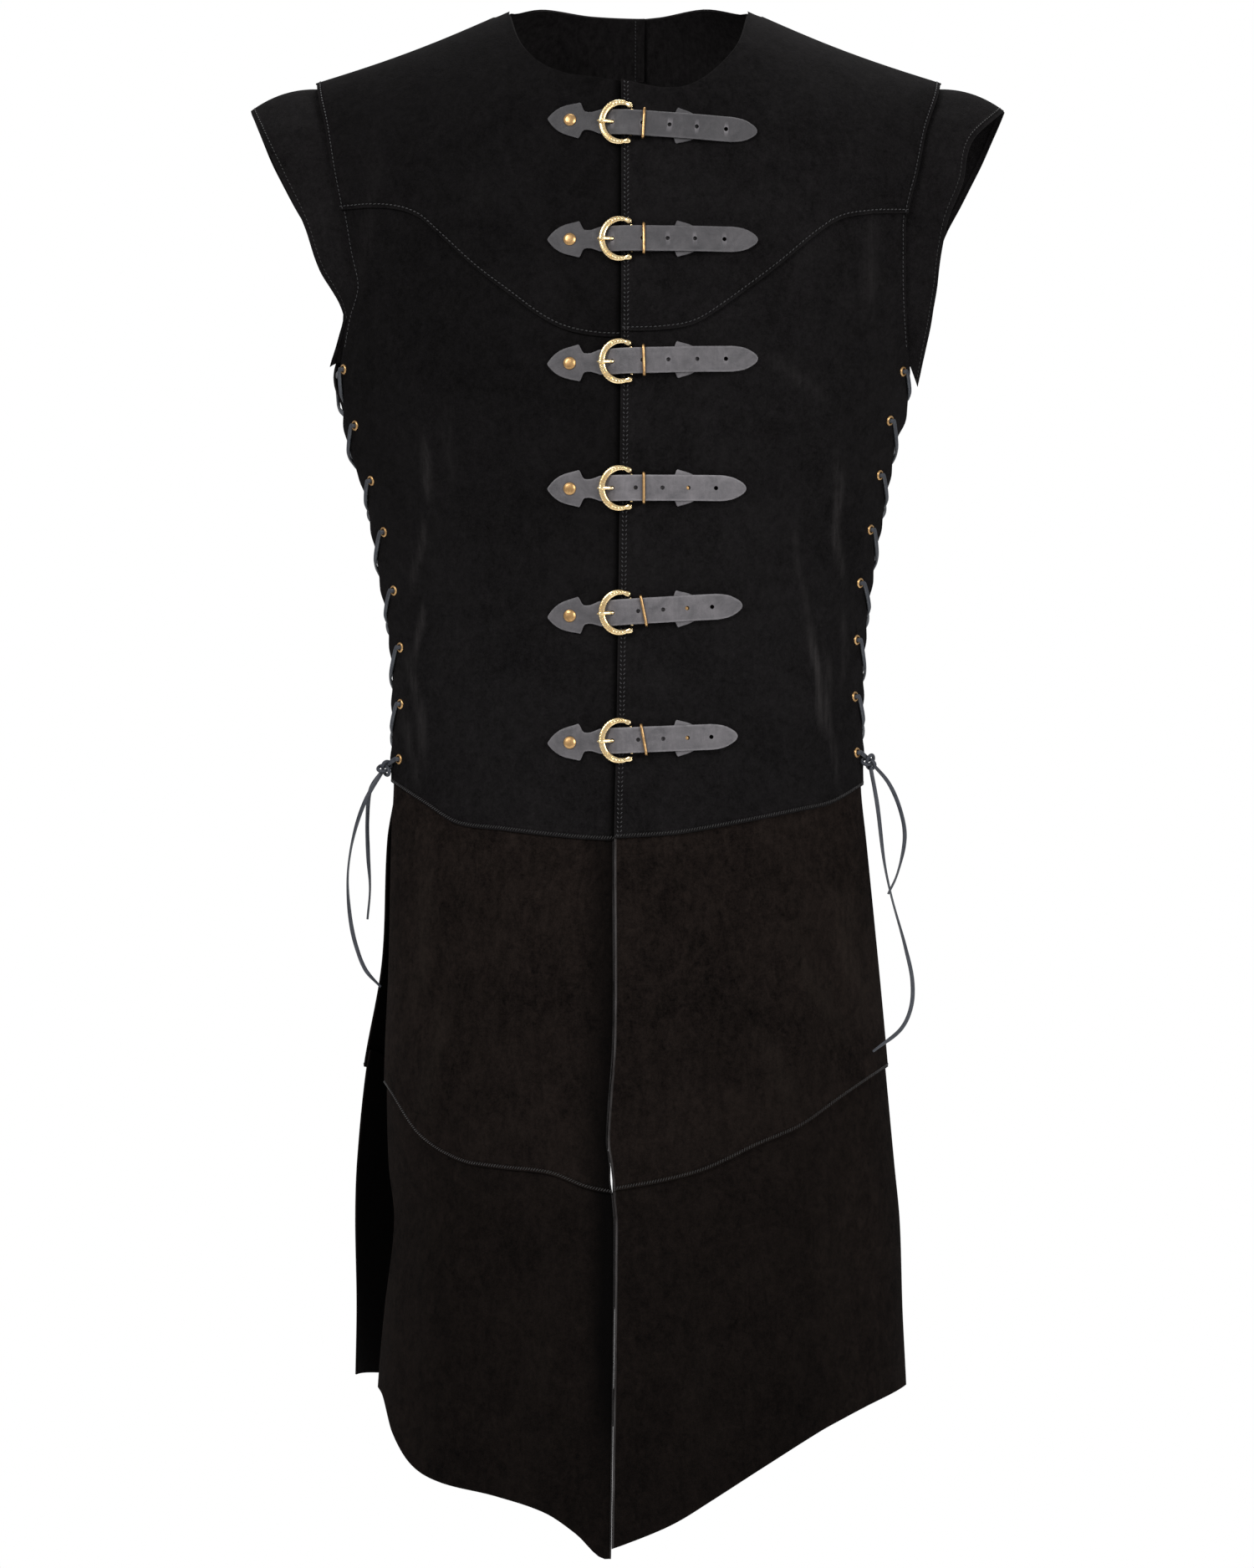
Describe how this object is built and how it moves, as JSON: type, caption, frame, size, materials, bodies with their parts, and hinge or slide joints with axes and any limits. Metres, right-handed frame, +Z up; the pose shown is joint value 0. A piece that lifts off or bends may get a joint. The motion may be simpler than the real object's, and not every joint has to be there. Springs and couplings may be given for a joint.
{
  "type": "laced leather tabard",
  "caption": "Long sleeveless leather tunic with cap sleeves, buckled straps down the front, laced open sides, a yoke and a split two-tier skirt with a pointed hem.",
  "frame": {"origin": "midway between the two shoulder seams, from side to side, front to back and in height", "axes": "+Z up towards the neck, -Y out of the buckled front, +X towards the wearer's left side"},
  "size_m": [0.5405, 0.2566, 1.0974],
  "materials": {
    "suede_body": "near-black suede, matt, with grey scuffs along the folds",
    "suede_skirt": "brownish black suede, matt, soft folds",
    "strap_leather": "smooth slate grey leather with fine wrinkles and paler cut edges",
    "lace_leather": "dark slate leather thong",
    "bright_brass": "bright cast brass with engraved ticks",
    "old_brass": "warm antique brass"
  },
  "bodies": {
    "root": {"yoke_right": "suede_body", "yoke_left": "suede_body", "front_body_right": "suede_body", "front_body_left": "suede_body", "back_body_right": "suede_body", "back_body_left": "suede_body", "sleeve_right": "suede_body", "sleeve_left": "suede_body", "front_skirt_right": "suede_skirt", "front_skirt_left": "suede_skirt", "back_skirt_right": "suede_skirt", "back_skirt_left": "suede_skirt", "front_hem_right": "suede_skirt", "front_hem_left": "suede_skirt", "back_hem_right": "suede_skirt", "back_hem_left": "suede_skirt", "strap_1": "strap_leather", "base_tab_1": "strap_leather", "buckle_1": "bright_brass", "tongue_1": "bright_brass", "keeper_1": "old_brass", "rivet_1": "old_brass", "strap_2": "strap_leather", "base_tab_2": "strap_leather", "buckle_2": "bright_brass", "tongue_2": "bright_brass", "keeper_2": "old_brass", "rivet_2": "old_brass", "strap_3": "strap_leather", "base_tab_3": "strap_leather", "buckle_3": "bright_brass", "tongue_3": "bright_brass", "keeper_3": "old_brass", "rivet_3": "old_brass", "strap_4": "strap_leather", "base_tab_4": "strap_leather", "buckle_4": "bright_brass", "tongue_4": "bright_brass", "keeper_4": "old_brass", "rivet_4": "old_brass", "strap_5": "strap_leather", "base_tab_5": "strap_leather", "buckle_5": "bright_brass", "tongue_5": "bright_brass", "keeper_5": "old_brass", "rivet_5": "old_brass", "strap_6": "strap_leather", "base_tab_6": "strap_leather", "buckle_6": "bright_brass", "tongue_6": "bright_brass", "keeper_6": "old_brass", "rivet_6": "old_brass", "lace_right": "lace_leather", "lace_left": "lace_leather", "tail_right": "lace_leather", "tail_right_back": "lace_leather", "tail_left_long": "lace_leather", "tail_left_short": "lace_leather"}
  },
  "joints": []
}
